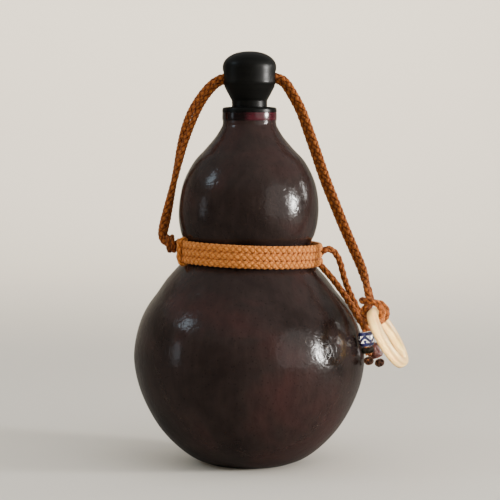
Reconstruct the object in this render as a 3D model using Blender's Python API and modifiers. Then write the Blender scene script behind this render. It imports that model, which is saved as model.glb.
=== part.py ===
# Dried bottle gourd made into a stoppered flask, with a carrying cord, a ring and two beaded tails.
# Units are metres. +Z is up, the base stands on z = 0 and the gourd's axis is the Z axis.
# -Y is the front. The sizes below are in millimetres and MM turns them into metres.

import bpy
from math import cos, sin, pi, radians, sqrt, hypot
from mathutils import Matrix, Vector

MM = 0.001
GAP = 0.35            # clearance between neighbouring pieces

# Gourd: half outlines as (radius, height), from the cut mouth down to the flat ring it stands on.
UPPER_OUTLINE = [
    (13.7, 177.4), (14.0, 175.0), (15.4, 172.2), (17.6, 168.8), (22.5, 163.0), (28.4, 156.6),
    (33.3, 147.6), (35.4, 140.4), (36.35, 131.5), (35.9, 124.5), (34.5, 118.6), (32.6, 114.4),
    (31.3, 110.4), (31.9, 106.6), (34.4, 103.4), (38.2, 99.2), (42.0, 94.8), (46.6, 88.4),
    (51.4, 82.2), (55.2, 75.6), (58.2, 67.0), (59.7, 59.6), (60.0, 53.0), (58.4, 43.0),
    (53.8, 30.6), (46.6, 18.4), (37.4, 8.6), (29.5, 2.9), (23.0, 0.25),
]
STAND_OUTER = 22.5
STAND_INNER = 17.5
DIMPLE = [(17.5, 0.0), (12.0, 1.3), (6.0, 2.3), (0.0, 2.5)]
WALL = 4.4
FLOOR_WALL = 5.5
MOUTH_RADIUS = 9.2
OUTLINE_PARTS = 8
GOURD_STEPS = 44

# Maroon ring and black collar on the cut mouth.
BAND_BOTTOM = 177.7
BAND_HEIGHT = 3.5
COLLAR_HEIGHT = 3.1
COLLAR_RADIUS = 14.0
COLLAR_CREST = 1.0
BORE_RADIUS = 7.4
SLEEVE_RADIUS = 8.8
SLEEVE_DEPTH = 9.0

# Stopper.
NECK_RADIUS = 9.1
NECK_TOP = 187.3
ARRIS_RADIUS = 14.0
ARRIS_HEIGHT = 196.5
DRUM_RADIUS = 13.35
DRUM_HEIGHT = 200.8
KNOB_RADIUS = 13.85
KNOB_WIDEST = 204.8
KNOB_TOP = 212.9
SPIGOT_RADIUS = 7.0
SPIGOT_BOTTOM = 167.5
HOLE_RADIUS = 4.5
HOLE_HEIGHT = 199.0

# Cord.
CORD_RADIUS = 1.8
PAIR_OFFSET = 1.95    # from the middle of the doubled cord to the middle of each strand

# Waist band: rows of one cord.
ROWS = 3
ROW_PITCH = 3.8
ROWS_HEIGHT = 109.5
BAND_EASE = 0.35      # how far the rows stand off the gourd, beyond the clearance
LEAST_ROW = 36.4      # least radius of a row, because the rows press each other level
ROWS_TILT = 1.3       # drop at the right and rise at the left
ROW_POINTS = 26       # points in a turn
CROSS_START = 0.86    # part of a turn at which a row steps down to the next
CROSS_END = 0.99

# Lashing: a loop round the two strands, just left of the waist band.
LASHING_PLACE = (-40.6, 0.0, 113.7)
LASHING_POINTS = 16

# Tie: a short piece of the same cord, upright, over the three rows at the left of the front.
TIE_ANGLE = 203.5
TIE_REACH = 7.4       # from the middle row to the tie's ends, up and down

# Carrying cord: the middle of its two strands as (x, y, z, twist in degrees), from the lashing
# at the left of the waist, over and through the stopper, to the hitch on the ring.
CORD_ROUTE = [
    (-38.7, 0.0, 113.7, 90), (-41.0, 0.0, 113.7, 90), (-43.1, 0.0, 114.1, 90),
    (-44.8, 0.0, 116.3, 96), (-44.8, 0.0, 119.9, 106), (-43.5, 0.0, 126.0, 110),
    (-41.7, 0.0, 134.0, 100), (-39.6, 0.0, 143.4, 90),
    (-37.2, 0.0, 153.8, 76), (-34.3, 0.0, 166.2, 46), (-30.6, 0.0, 177.4, 18),
    (-26.6, 0.0, 185.6, -2), (-22.0, 0.0, 192.2, -26), (-17.6, 0.0, 196.6, -44),
    (-12.8, 0.0, 198.8, -50), (0.0, 0.0, 199.0, -50), (12.8, 0.0, 199.1, -50),
    (17.4, -0.3, 197.5, -50), (21.8, -1.0, 191.2, -48), (26.3, -2.0, 182.8, -48),
    (30.5, -3.5, 171.4, -50), (34.4, -6.0, 160.1, -50), (38.5, -9.0, 147.9, -50),
    (43.2, -12.0, 135.8, -58), (48.1, -15.0, 123.4, -70), (53.1, -18.8, 111.7, -78),
    (57.0, -23.0, 102.2, -76),
]
LONG_STEP = 12.0      # longest distance between two points of a cord
BEND_STEP = 21.0      # largest turn between two points of a cord, in degrees

# Ring, hung from the carrying cord.
RING_CENTRE = (69.0, -36.2, 69.2)
RING_RADIUS = 16.5
RING_WALL = 4.4
RING_WIDTH = 5.6
RING_CLIMB = 31.0     # rise of the ring's axis from the horizontal, in degrees
RING_HEADING = -14.0  # heading of that axis from +X
RING_STEPS = 36
HITCH_ANGLE = 10.0    # place of the hitch round the ring, from its top towards the back

# Hitch: half of the cord's way round the ring, as (along the limb, outward, along the ring's axis)
# from the middle of the limb. The other half is its mirror image along the limb.
HITCH_HALF = [
    (-1.95, 12.0, 2.7), (-1.95, 8.0, 1.6), (-1.95, 4.8, -0.4), (-1.95, 3.7, -3.6),
    (-2.0, 0.0, -5.1), (-2.3, -3.8, -4.1), (-2.8, -4.8, -0.7), (-3.5, -4.7, 2.3),
    (-4.4, -3.0, 4.5), (-5.2, 0.6, 5.1), (-5.7, 3.9, 3.5), (-5.5, 5.9, 0.7),
    (-4.0, 7.6, -1.6), (0.0, 8.3, -2.2),
]

# Tails. Each route runs from the waist band to the end knot.
INNER_TAIL = [
    (37.3, -9.5, 102.3), (38.5, -9.7, 101.1), (39.9, -10.0, 99.5), (42.0, -10.4, 97.1),
    (45.2, -10.9, 93.0),
    (49.2, -12.8, 87.4), (52.8, -15.4, 81.8), (55.6, -17.6, 76.8), (57.7, -19.2, 73.6),
    (58.8, -20.1, 71.2), (59.4, -20.4, 66.6), (60.0, -20.5, 61.4), (60.4, -20.5, 58.0),
]
OUTER_TAIL = [
    (38.9, -4.6, 110.7), (40.6, -4.0, 111.4), (42.3, -3.1, 110.8), (44.6, -2.0, 108.7),
    (46.5, -1.0, 105.2), (47.9, -0.4, 100.8), (49.0, -0.2, 96.4), (50.4, -0.6, 92.2),
    (52.3, -1.4, 87.6),
    (54.7, -2.6, 82.6), (57.5, -3.6, 76.4), (60.5, -4.0, 70.0), (63.0, -4.0, 63.6),
    (64.9, -4.0, 58.3), (66.5, -4.0, 54.6),
]
BEAD_BORE = 2.2
PORCELAIN_RADIUS = 4.2
PORCELAIN_LENGTH = 7.6
BLACK_RADIUS = 3.4
BLACK_LENGTH = 3.2
SEED_RADIUS = 4.2
SEED_LENGTH = 7.4
KNOT_RADIUS = 2.6


def clear_scene():
    for item in list(bpy.data.objects):
        bpy.data.objects.remove(item, do_unlink=True)


def new_collection(name):
    group = bpy.data.collections.new(name)
    bpy.context.scene.collection.children.link(group)
    return group


clear_scene()
FLASK = new_collection("bottle_gourd_flask")
CUTTERS = new_collection("cutters")


def material(name, colour, roughness, metallic=0.0):
    made = bpy.data.materials.new(name)
    made.use_nodes = True
    shader = made.node_tree.nodes["Principled BSDF"]
    shader.inputs["Base Color"].default_value = (*colour, 1.0)
    shader.inputs["Roughness"].default_value = roughness
    shader.inputs["Metallic"].default_value = metallic
    return made


GOURD_SKIN = material("gourd_skin", (0.040, 0.020, 0.017), 0.28)
BLACK_WOOD = material("black_wood", (0.012, 0.012, 0.012), 0.30)
MAROON_WOOD = material("maroon_wood", (0.110, 0.020, 0.028), 0.25)
CORD_BROWN = material("cord_brown", (0.300, 0.105, 0.025), 0.75)
PALE_BONE = material("pale_bone", (0.760, 0.610, 0.400), 0.40)
BLUE_WHITE = material("blue_white", (0.620, 0.640, 0.720), 0.15)
SEED_BROWN = material("seed_brown", (0.090, 0.022, 0.016), 0.35)


def smooth_curve(points, parts):
    """Points on a centripetal curve through the given points, with that many parts to a span."""
    knots = [Vector(point) for point in points]
    knots.insert(0, knots[0] * 2 - knots[1])
    knots.append(knots[-1] * 2 - knots[-2])
    curve = []
    for index in range(1, len(knots) - 2):
        a, b, c, d = knots[index - 1:index + 3]
        t1 = sqrt((b - a).length)
        t2 = t1 + sqrt((c - b).length)
        t3 = t2 + sqrt((d - c).length)
        for part in range(parts):
            t = t1 + (t2 - t1) * part / parts
            ab = a * ((t1 - t) / t1) + b * (t / t1)
            bc = b * ((t2 - t) / (t2 - t1)) + c * ((t - t1) / (t2 - t1))
            cd = c * ((t3 - t) / (t3 - t2)) + d * ((t - t2) / (t3 - t2))
            abc = ab * ((t2 - t) / t2) + bc * (t / t2)
            bcd = bc * ((t3 - t) / (t3 - t1)) + cd * ((t - t1) / (t3 - t1))
            curve.append(abc * ((t2 - t) / (t2 - t1)) + bcd * ((t - t1) / (t2 - t1)))
    curve.append(knots[-2])
    return curve


def thin_out(curve, step, bend):
    """Few points that follow a dense curve: one at each bend or, at the latest, after a step."""
    kept = [curve[0]]
    heading = (curve[1] - curve[0]).normalized()
    for before, point, after in zip(curve, curve[1:], curve[2:]):
        turned = heading.angle((after - point).normalized(), 0.0) > radians(bend)
        if (point - kept[-1]).length > step or turned:
            kept.append(point)
            heading = (after - point).normalized()
    if (curve[-1] - kept[-1]).length < 1.5:
        kept.pop()
    kept.append(curve[-1])
    return kept


def link(name, data, skin, group=None):
    made = bpy.data.objects.new(name, data)
    (group or FLASK).objects.link(made)
    data.materials.append(skin)
    return made


def turned(name, profile, skin, steps, closed=False):
    """A solid turned round Z from a profile of (radius, height) that runs down its outer side."""
    mesh = bpy.data.meshes.new(name)
    points = [(radius * MM, 0.0, height * MM) for radius, height in profile]
    count = len(points)
    edges = [(index, (index + 1) % count) for index in range(count if closed else count - 1)]
    mesh.from_pydata(points, edges, [])
    made = link(name, mesh, skin)
    screw = made.modifiers.new("turning", "SCREW")
    screw.axis = "Z"
    screw.steps = steps
    screw.render_steps = steps
    screw.use_merge_vertices = True
    screw.merge_threshold = 0.00001
    screw.use_smooth_shade = True
    return made


def tube(name, points, radius, skin, cyclic=False):
    """A cord: a round tube along the points, with closed ends or joined into a loop."""
    curve = bpy.data.curves.new(name, "CURVE")
    curve.dimensions = "3D"
    curve.bevel_depth = radius * MM
    curve.bevel_resolution = 2
    curve.use_fill_caps = not cyclic
    spline = curve.splines.new("POLY")
    spline.points.add(len(points) - 1)
    for place, point in zip(spline.points, points):
        place.co = (*(Vector(point) * MM), 1.0)
    spline.use_cyclic_u = cyclic
    return link(name, curve, skin)


# Gourd

def gourd_outline():
    flat = [Vector((radius, 0.0, height)) for radius, height in UPPER_OUTLINE]
    return [(point.x, point.z) for point in smooth_curve(flat, OUTLINE_PARTS)]


OUTLINE = gourd_outline()


def clear_radius(height, clearance):
    """Radius at which a round cord of that clearance just stays off the gourd at a height."""
    best = 0.0
    for radius, level in OUTLINE:
        drop = abs(level - height)
        if drop < clearance:
            best = max(best, radius + sqrt(clearance ** 2 - drop ** 2))
    return best


def inner_outline(outline):
    """The hollow: the outline moved in by the wall, from the mouth down to the axis."""
    inner = []
    for before, point, after in zip(outline, outline[1:], outline[2:]):
        run = hypot(after[0] - before[0], after[1] - before[1])
        inward = ((after[1] - before[1]) / run, -(after[0] - before[0]) / run)
        radius = point[0] + inward[0] * WALL
        height = point[1] + inward[1] * WALL
        if radius < MOUTH_RADIUS and height > ROWS_HEIGHT:
            continue
        if height > FLOOR_WALL + 1.0 and radius > STAND_INNER:
            inner.append((radius, height))
    return inner


def build_gourd():
    outer = OUTLINE[::OUTLINE_PARTS]
    hollow = inner_outline(outer)
    base = [(STAND_OUTER, 0.0)] + DIMPLE
    floor = [(STAND_INNER * 0.6, FLOOR_WALL + 0.4), (0.0, FLOOR_WALL + 0.6)]
    inside = list(reversed(hollow + floor))
    mouth = [(MOUTH_RADIUS, inside[-1][1] + 2.0), (MOUTH_RADIUS, UPPER_OUTLINE[0][1])]
    return turned("gourd", inside + mouth + outer + base, GOURD_SKIN, GOURD_STEPS)


# Collar and its band

def rounded_side(radius, low, high, bulge):
    """Three points down a slightly bulging side."""
    middle = (low + high) / 2
    return [(radius - bulge, high), (radius, middle), (radius - bulge, low)]


def build_collar_band():
    low = BAND_BOTTOM
    high = low + BAND_HEIGHT
    inner = SLEEVE_RADIUS + GAP
    side = rounded_side(COLLAR_RADIUS, low + 0.5, high - 0.5, 0.35)
    profile = [(inner, low), (inner, high), (COLLAR_RADIUS - 0.9, high)] + side
    profile.append((COLLAR_RADIUS - 0.9, low))
    return turned("collar_band", profile, MAROON_WOOD, 40, closed=True)


def build_mouth_collar():
    low = BAND_BOTTOM + BAND_HEIGHT + GAP
    high = low + COLLAR_HEIGHT
    bottom = BAND_BOTTOM - SLEEVE_DEPTH
    profile = [
        (BORE_RADIUS, bottom), (BORE_RADIUS, high - 0.6), (BORE_RADIUS + 0.5, high),
        (NECK_RADIUS + 0.6, high), (COLLAR_RADIUS - 1.3, high - COLLAR_CREST),
        (COLLAR_RADIUS - 0.3, high - COLLAR_CREST - 0.5), (COLLAR_RADIUS, low + 1.0),
        (COLLAR_RADIUS - 0.3, low + 0.3), (COLLAR_RADIUS - 0.9, low), (SLEEVE_RADIUS, low),
        (SLEEVE_RADIUS, bottom),
    ]
    return turned("mouth_collar", profile, BLACK_WOOD, 40, closed=True)


# Stopper

def dome(radius, widest, top, parts):
    """The rounded top of the knob, from its middle out to its widest."""
    rise = top - widest
    angles = [pi / 2 * (1 - part / parts) for part in range(parts)]
    return [(radius * cos(angle), widest + rise * sin(angle)) for angle in angles]


def build_stopper():
    seat = BAND_BOTTOM + BAND_HEIGHT + COLLAR_HEIGHT + 2 * GAP
    shoulders = [(0.0, KNOB_TOP)] + dome(KNOB_RADIUS, KNOB_WIDEST, KNOB_TOP, 7)[1:]
    knob = [
        (KNOB_RADIUS, KNOB_WIDEST), (DRUM_RADIUS, DRUM_HEIGHT),
        (ARRIS_RADIUS, ARRIS_HEIGHT + 0.5), (ARRIS_RADIUS - 0.1, ARRIS_HEIGHT - 0.4),
        (NECK_RADIUS + 0.2, NECK_TOP + 0.4), (NECK_RADIUS, NECK_TOP - 0.4),
        (NECK_RADIUS + 0.1, (NECK_TOP + seat) / 2), (NECK_RADIUS - 0.2, seat),
    ]
    spigot = [
        (SPIGOT_RADIUS, seat), (SPIGOT_RADIUS, SPIGOT_BOTTOM + 4.0),
        (SPIGOT_RADIUS - 0.8, SPIGOT_BOTTOM), (0.0, SPIGOT_BOTTOM),
    ]
    stopper = turned("stopper", shoulders + knob + spigot, BLACK_WOOD, 40)
    bpy.ops.mesh.primitive_cylinder_add(vertices=24, radius=HOLE_RADIUS * MM, depth=0.040)
    cutter = bpy.context.object
    cutter.name = "cross_hole_cutter"
    for group in list(cutter.users_collection):
        group.objects.unlink(cutter)
    CUTTERS.objects.link(cutter)
    cutter.location = (0.0, 0.0, HOLE_HEIGHT * MM)
    cutter.rotation_euler = (0.0, pi / 2, 0.0)
    cutter.hide_render = True
    cutter.display_type = "WIRE"
    cross_hole = stopper.modifiers.new("cross_hole", "BOOLEAN")
    cross_hole.operation = "DIFFERENCE"
    cross_hole.solver = "EXACT"
    cross_hole.object = cutter
    return stopper


# Waist band

def row_radius(height):
    """Radius of the middle of the cord in a row at a height."""
    return max(clear_radius(height, CORD_RADIUS + GAP) + BAND_EASE, LEAST_ROW)


def band_point(turn):
    """A point of the wound cord after that many turns from the left, going round by the front."""
    angle = pi + 2 * pi * turn
    row = int(turn)
    crossing = min(max((turn - row - CROSS_START) / (CROSS_END - CROSS_START), 0.0), 1.0)
    if row < ROWS - 1:
        row += crossing * crossing * (3 - 2 * crossing)
    height = ROWS_HEIGHT + ROW_PITCH * ((ROWS - 1) / 2 - row) - ROWS_TILT * cos(angle)
    radius = row_radius(height)
    return Vector((radius * cos(angle), radius * sin(angle), height))


def build_waist_band():
    turns = ROWS - 1 + CROSS_START
    count = round(turns * ROW_POINTS)
    points = [band_point(turns * index / count) for index in range(count + 1)]
    return tube("waist_band", points, CORD_RADIUS, CORD_BROWN)


def build_left_lashing():
    """A closed loop of cord, upright, round the two strands where they reach the waist band."""
    half_width = PAIR_OFFSET + 2 * CORD_RADIUS + GAP
    half_height = 2 * CORD_RADIUS + GAP + 0.2
    points = []
    for index in range(LASHING_POINTS):
        angle = 2 * pi * index / LASHING_POINTS
        across = abs(cos(angle)) ** 0.7 * (1 if cos(angle) > 0 else -1)
        upward = abs(sin(angle)) ** 0.7 * (1 if sin(angle) > 0 else -1)
        side = Vector((0.0, half_width * across, half_height * upward))
        points.append(Vector(LASHING_PLACE) + side)
    return tube("left_lashing", points, CORD_RADIUS, CORD_BROWN, cyclic=True)


def tie_radius(height, level):
    """Radius at which the tie just stays off the gourd and off the three rows at a height."""
    reach = 2 * CORD_RADIUS + GAP
    best = clear_radius(height, CORD_RADIUS + GAP)
    for row in range(ROWS):
        row_height = level + ROW_PITCH * ((ROWS - 1) / 2 - row)
        drop = abs(height - row_height)
        if drop < reach:
            best = max(best, row_radius(row_height) + sqrt(reach ** 2 - drop ** 2))
    return best


def build_band_tie():
    """The tie: an upright bow over the outside of the rows, its ends close to the gourd."""
    angle = radians(TIE_ANGLE)
    level = ROWS_HEIGHT - ROWS_TILT * cos(angle)
    bow = []
    for index in range(13):
        height = level + TIE_REACH * (1 - index / 6)
        radius = tie_radius(height, level)
        bow.append((radius * cos(angle), radius * sin(angle), height))
    return tube("band_tie", bow, CORD_RADIUS, CORD_BROWN)


# Ring

def ring_matrix():
    place = Matrix.Translation(Vector(RING_CENTRE) * MM)
    heading = Matrix.Rotation(radians(RING_HEADING), 4, "Z")
    climb = Matrix.Rotation(radians(90.0 - RING_CLIMB), 4, "Y")
    return place @ heading @ climb


def build_ring():
    middle = RING_RADIUS - RING_WALL / 2
    profile = []
    for index in range(12):
        angle = pi / 2 - 2 * pi * index / 12
        across = abs(cos(angle)) ** 0.75 * (1 if cos(angle) > 0 else -1)
        along = abs(sin(angle)) ** 0.75 * (1 if sin(angle) > 0 else -1)
        profile.append((middle + across * RING_WALL / 2, along * RING_WIDTH / 2))
    ring = turned("ring", profile, PALE_BONE, RING_STEPS, closed=True)
    ring.matrix_world = ring_matrix()
    return ring


def hitch_point(along, outward, across):
    """World place, in millimetres, of a point given from the middle of the ring's limb."""
    middle = RING_RADIUS - RING_WALL / 2
    angle = radians(HITCH_ANGLE)
    out = Vector((-cos(angle), sin(angle), 0.0))
    limb = Vector((sin(angle), cos(angle), 0.0))
    local = out * (middle + outward) + limb * along + Vector((0.0, 0.0, across))
    return ring_matrix() @ (local * MM) / MM


# Carrying cord

def strand(sign):
    """One strand of the doubled cord, from the lashing to the hitch."""
    route = [(x, y, z) for x, y, z, twist in CORD_ROUTE]
    entry = (hitch_point(*HITCH_HALF[0]) + hitch_point(-HITCH_HALF[0][0], *HITCH_HALF[0][1:])) / 2
    route.append(tuple(entry))
    twists = [twist for x, y, z, twist in CORD_ROUTE] + [-88]
    parts = 6
    middle = smooth_curve(route, parts)
    points = []
    for index, point in enumerate(middle):
        span = min(index // parts, len(twists) - 2)
        share = index / parts - span
        twist = radians(twists[span] * (1 - share) + twists[span + 1] * share)
        ahead = middle[min(index + 1, len(middle) - 1)] - middle[max(index - 1, 0)]
        outward = Vector((-ahead.z, 0.0, ahead.x)).normalized()
        side = outward * cos(twist) + Vector((0.0, 1.0, 0.0)) * sin(twist)
        points.append(point + side * PAIR_OFFSET * sign)
    return points


def build_carrying_cord():
    near = [hitch_point(*place) for place in HITCH_HALF]
    far = [hitch_point(-along, outward, across) for along, outward, across in HITCH_HALF]
    hitch = smooth_curve(near + far[-2::-1], 6)
    first = strand(1)[:-3]
    last = strand(-1)[:-3]
    cord = first + hitch + last[::-1]
    points = thin_out(cord, LONG_STEP, BEND_STEP)
    return tube("carrying_cord", points, CORD_RADIUS, CORD_BROWN)


# Tails, beads and end knots

def build_tail(name, route):
    points = thin_out(smooth_curve(route, 6), LONG_STEP, BEND_STEP)
    return tube(name, points, CORD_RADIUS, CORD_BROWN)


def place_on(made, centre, heading):
    """Set a turned piece at a place with its axis along a heading."""
    turn = Vector((0.0, 0.0, 1.0)).rotation_difference(heading).to_matrix().to_4x4()
    made.matrix_world = Matrix.Translation(centre * MM) @ turn


def build_bead(name, centre, heading, radius, length, skin):
    """A round bead with a bore for the cord."""
    half = length / 2
    side = []
    for index in range(7):
        angle = pi / 2 - pi * index / 6
        side.append((BEAD_BORE + (radius - BEAD_BORE) * cos(angle) ** 0.7, half * sin(angle)))
    bead = turned(name, side, skin, 20, closed=True)
    place_on(bead, Vector(centre), heading)
    return bead


def build_knot(name, end, heading):
    profile = [
        (0.0, KNOT_RADIUS), (KNOT_RADIUS * 0.75, KNOT_RADIUS * 0.7), (KNOT_RADIUS, 0.0),
        (KNOT_RADIUS * 0.75, -KNOT_RADIUS * 0.7), (0.0, -KNOT_RADIUS),
    ]
    knot = turned(name, profile, CORD_BROWN, 12)
    place_on(knot, Vector(end) + heading * (KNOT_RADIUS + GAP), heading)
    return knot


def build_tails():
    build_tail("inner_tail", INNER_TAIL)
    build_tail("outer_tail", OUTER_TAIL)
    down = (Vector(INNER_TAIL[-2]) - Vector(INNER_TAIL[-4])).normalized()
    build_bead("porcelain_bead", INNER_TAIL[-3], down, PORCELAIN_RADIUS, PORCELAIN_LENGTH, BLUE_WHITE)
    low = (Vector(INNER_TAIL[-1]) - Vector(INNER_TAIL[-3])).normalized()
    drop = PORCELAIN_LENGTH / 2 + GAP + BLACK_LENGTH / 2
    black_place = Vector(INNER_TAIL[-3]) + low * drop
    build_bead("black_bead", black_place, low, BLACK_RADIUS, BLACK_LENGTH, BLACK_WOOD)
    build_knot("inner_end_knot", INNER_TAIL[-1], low)
    out = (Vector(OUTER_TAIL[-1]) - Vector(OUTER_TAIL[-3])).normalized()
    build_bead("seed_bead", OUTER_TAIL[-2], out, SEED_RADIUS, SEED_LENGTH, SEED_BROWN)
    build_knot("outer_end_knot", OUTER_TAIL[-1], out)


build_gourd()
build_collar_band()
build_mouth_collar()
build_stopper()
build_waist_band()
build_left_lashing()
build_band_tie()
build_ring()
build_carrying_cord()
build_tails()
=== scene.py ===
# %% [markdown]
# # A dried bottle gourd made into a flask
#
# The object is a gourd that grew with a waist. It was dried, waxed, cut open at the neck and closed
# with a turned collar and stopper. A braided cord is wound round the waist, and the same cord
# makes a handle through the stopper, with a pale ring and two beaded tails.
#
# The measured solids come first, as a fixed frame in metres. Each cell then replaces one of them
# with a finer piece in the same place, and the last cells give the materials, the floor and the light.

# %% Load the frame
from math import atan2, cos, exp, hypot, pi, radians, sin, sqrt

import bmesh
import bpy
from mathutils import Matrix, Vector, noise


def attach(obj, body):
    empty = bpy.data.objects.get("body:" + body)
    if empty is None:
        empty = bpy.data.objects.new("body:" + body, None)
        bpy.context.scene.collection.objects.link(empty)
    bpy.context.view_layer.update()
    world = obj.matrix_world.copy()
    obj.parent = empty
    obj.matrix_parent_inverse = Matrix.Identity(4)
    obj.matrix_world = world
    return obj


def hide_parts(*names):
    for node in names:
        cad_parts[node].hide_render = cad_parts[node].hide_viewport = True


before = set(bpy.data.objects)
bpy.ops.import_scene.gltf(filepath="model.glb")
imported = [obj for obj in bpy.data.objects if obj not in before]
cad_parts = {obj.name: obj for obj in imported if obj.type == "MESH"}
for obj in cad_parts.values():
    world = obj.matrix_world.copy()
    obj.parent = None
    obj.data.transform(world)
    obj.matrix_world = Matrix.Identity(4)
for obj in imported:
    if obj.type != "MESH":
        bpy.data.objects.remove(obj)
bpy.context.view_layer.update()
MM = 0.001
print("nodes:", ", ".join(sorted(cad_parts)))

# %% [markdown]
# ## Camera
#
# A long lens keeps the two bulbs in their true proportion. The camera stands 0.9 m in front of the
# flask, a little above its waist, and looks slightly down, so that the rows of cord curve gently.
# The focal length follows from the width of view that is wanted at that distance.

# %% Camera
DISTANCE = 0.900
VIEW_WIDTH = 0.2585

camera_data = bpy.data.cameras.new("camera")
camera_data.sensor_width = 36.0
camera_data.lens = 36.0 * DISTANCE / VIEW_WIDTH
camera = bpy.data.objects.new("camera", camera_data)
bpy.context.scene.collection.objects.link(camera)
camera.location = (0.00026, -DISTANCE, 0.1776)
aim = Vector((0.00026, 0.0, 0.1104))
camera.rotation_euler = (aim - camera.location).to_track_quat("-Z", "Y").to_euler()
bpy.context.scene.camera = camera
print("focal length", round(camera_data.lens, 1), "mm")

# %% [markdown]
# ## Smooth routes
#
# A cord is easiest to describe by a few points that it passes through. A centripetal curve runs
# through all of them without loops or overshoot, because the time given to each span grows with
# the root of its length. Even steps along the result keep the braid regular later on.

# %% Smooth routes
def smooth_curve(points, parts):
    """Points on a centripetal curve through the given points, with that many parts to a span."""
    knots = [Vector(point) for point in points]
    knots.insert(0, knots[0] * 2 - knots[1])
    knots.append(knots[-1] * 2 - knots[-2])
    curve = []
    for index in range(1, len(knots) - 2):
        a, b, c, d = knots[index - 1:index + 3]
        t1 = sqrt((b - a).length)
        t2 = t1 + sqrt((c - b).length)
        t3 = t2 + sqrt((d - c).length)
        for part in range(parts):
            t = t1 + (t2 - t1) * part / parts
            ab = a * ((t1 - t) / t1) + b * (t / t1)
            bc = b * ((t2 - t) / (t2 - t1)) + c * ((t - t1) / (t2 - t1))
            cd = c * ((t3 - t) / (t3 - t2)) + d * ((t - t2) / (t3 - t2))
            abc = ab * ((t2 - t) / t2) + bc * (t / t2)
            bcd = bc * ((t3 - t) / (t3 - t1)) + cd * ((t - t1) / (t3 - t1))
            curve.append(abc * ((t2 - t) / (t2 - t1)) + bcd * ((t - t1) / (t2 - t1)))
    curve.append(knots[-2])
    return curve


def even_steps(curve, step):
    """Points at even distances along a curve, both ends included."""
    reached = [0.0]
    for a, b in zip(curve, curve[1:]):
        reached.append(reached[-1] + (b - a).length)
    count = max(2, round(reached[-1] / step))
    points = []
    index = 0
    for place in range(count + 1):
        wanted = reached[-1] * place / count
        while index < len(curve) - 2 and reached[index + 1] < wanted:
            index += 1
        share = (wanted - reached[index]) / max(reached[index + 1] - reached[index], 1e-12)
        points.append(curve[index].lerp(curve[index + 1], share))
    return points


def eased(points, rounds):
    """The same points with small kinks relaxed, both ends kept."""
    for _ in range(rounds):
        middle = [(a + b * 2 + c) / 4 for a, b, c in zip(points, points[1:], points[2:])]
        points = [points[0]] + middle + [points[-1]]
    return points


def run_length(points):
    return sum((b - a).length for a, b in zip(points, points[1:]))


# %% [markdown]
# ## A braided cord
#
# The cord is braided from six strands, three winding each way, and each strand passes over one
# and under the next. It could be painted as a bump on a round tube, but the cord is seen large and
# its edge is uneven, so every strand is real geometry. A strand starts as a flat grid. Each vertex
# of it is moved to its place round the strand, and the strand's middle runs along a helix whose
# radius rises and falls three times a turn.

# %% Strands of the braid
BRAID_PITCH = 12.4 * MM       # length in which a strand goes once round
STRANDS_EACH_WAY = 3
STRAND_RING = 1.08            # mean distance of a strand from the middle, in millimetres
STRAND_WEAVE = 0.34           # how far it rises over and dives under the others
STRAND_THICK = 0.46
STRAND_WIDE = 0.98
STRAND_SIDES = 8
STATIONS = 24                 # cross-sections of a strand in one pitch
BRAID_RADIUS = (STRAND_RING + STRAND_WEAVE + STRAND_THICK) * MM


def add_strand(bm, length, turns, way, start, scale):
    """One strand of a straight braid along X. way is 1 or -1, the hand of its helix."""
    crest = bm.verts.layers.float.get("crest") or bm.verts.layers.float.new("crest")
    tint = bm.verts.layers.float.get("tint") or bm.verts.layers.float.new("tint")
    stations = max(6, round(turns * STATIONS))
    grid = bmesh.ops.create_grid(
        bm, x_segments=stations, y_segments=STRAND_SIDES, size=0.5, calc_uvs=True)
    for vert in grid["verts"]:
        along = vert.co.x + 0.5
        around = 2 * pi * (vert.co.y + 0.5)
        phase = 2 * pi * turns * along
        wave = way * cos(STRANDS_EACH_WAY * phase)
        lift = (STRAND_RING + STRAND_WEAVE * wave) * MM * scale
        angle = way * phase + start
        outward = Vector((0.0, cos(angle), sin(angle)))
        sideways = Vector((0.0, -sin(angle), cos(angle)))
        heading = Vector((length, 0.0, 0.0)) + sideways * (way * 2 * pi * turns * lift)
        breadth = heading.cross(outward).normalized()
        vert.co = outward * (lift + STRAND_THICK * MM * scale * sin(around))
        vert.co += breadth * (STRAND_WIDE * MM * scale * cos(around))
        vert.co.x += length * along
        # crest says how high the strand rides; the cotton paints shade where it is low.
        vert[crest] = 0.5 + 0.5 * wave
        vert[tint] = (start / (2 * pi) + 0.37 * way) % 1.0


def add_core(bm, length, turns, scale):
    """A plain tube inside the braid, which keeps light from showing between the strands."""
    stations = max(6, round(turns * STATIONS / 2))
    grid = bmesh.ops.create_grid(bm, x_segments=stations, y_segments=8, size=0.5, calc_uvs=True)
    for vert in grid["verts"]:
        along = vert.co.x + 0.5
        around = 2 * pi * (vert.co.y + 0.5)
        radius = 0.80 * MM * scale
        vert.co = Vector((length * along, radius * cos(around), radius * sin(around)))


def straight_braid(length, radius, pitch):
    """A braid of that length along X, as a mesh in bmesh, with its ends closed."""
    bm = bmesh.new()
    bm.loops.layers.uv.new("UVMap")
    turns = max(1.0, round(4 * length / pitch) / 4)
    scale = radius / BRAID_RADIUS
    for way in (1, -1):
        for number in range(STRANDS_EACH_WAY):
            add_strand(bm, length, turns, way, 2 * pi * number / STRANDS_EACH_WAY, scale)
    add_core(bm, length, turns, scale)
    bmesh.ops.remove_doubles(bm, verts=bm.verts, dist=1e-6)
    bmesh.ops.holes_fill(bm, edges=[edge for edge in bm.edges if edge.is_boundary], sides=0)
    bmesh.ops.recalc_face_normals(bm, faces=bm.faces)
    uv = bm.loops.layers.uv.active
    for face in bm.faces:
        for corner in face.loops:
            corner[uv].uv.x *= length / MM
    return bm


# %% [markdown]
# ## Laying the braid along its route
#
# A Curve modifier bends the straight braid along a route. Stretch and bounds are switched on, so
# that the mesh covers the route exactly from end to end, and the smallest twist keeps the strands
# from winding up at bends. The result is stored as a plain mesh, so the route can be removed.

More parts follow.
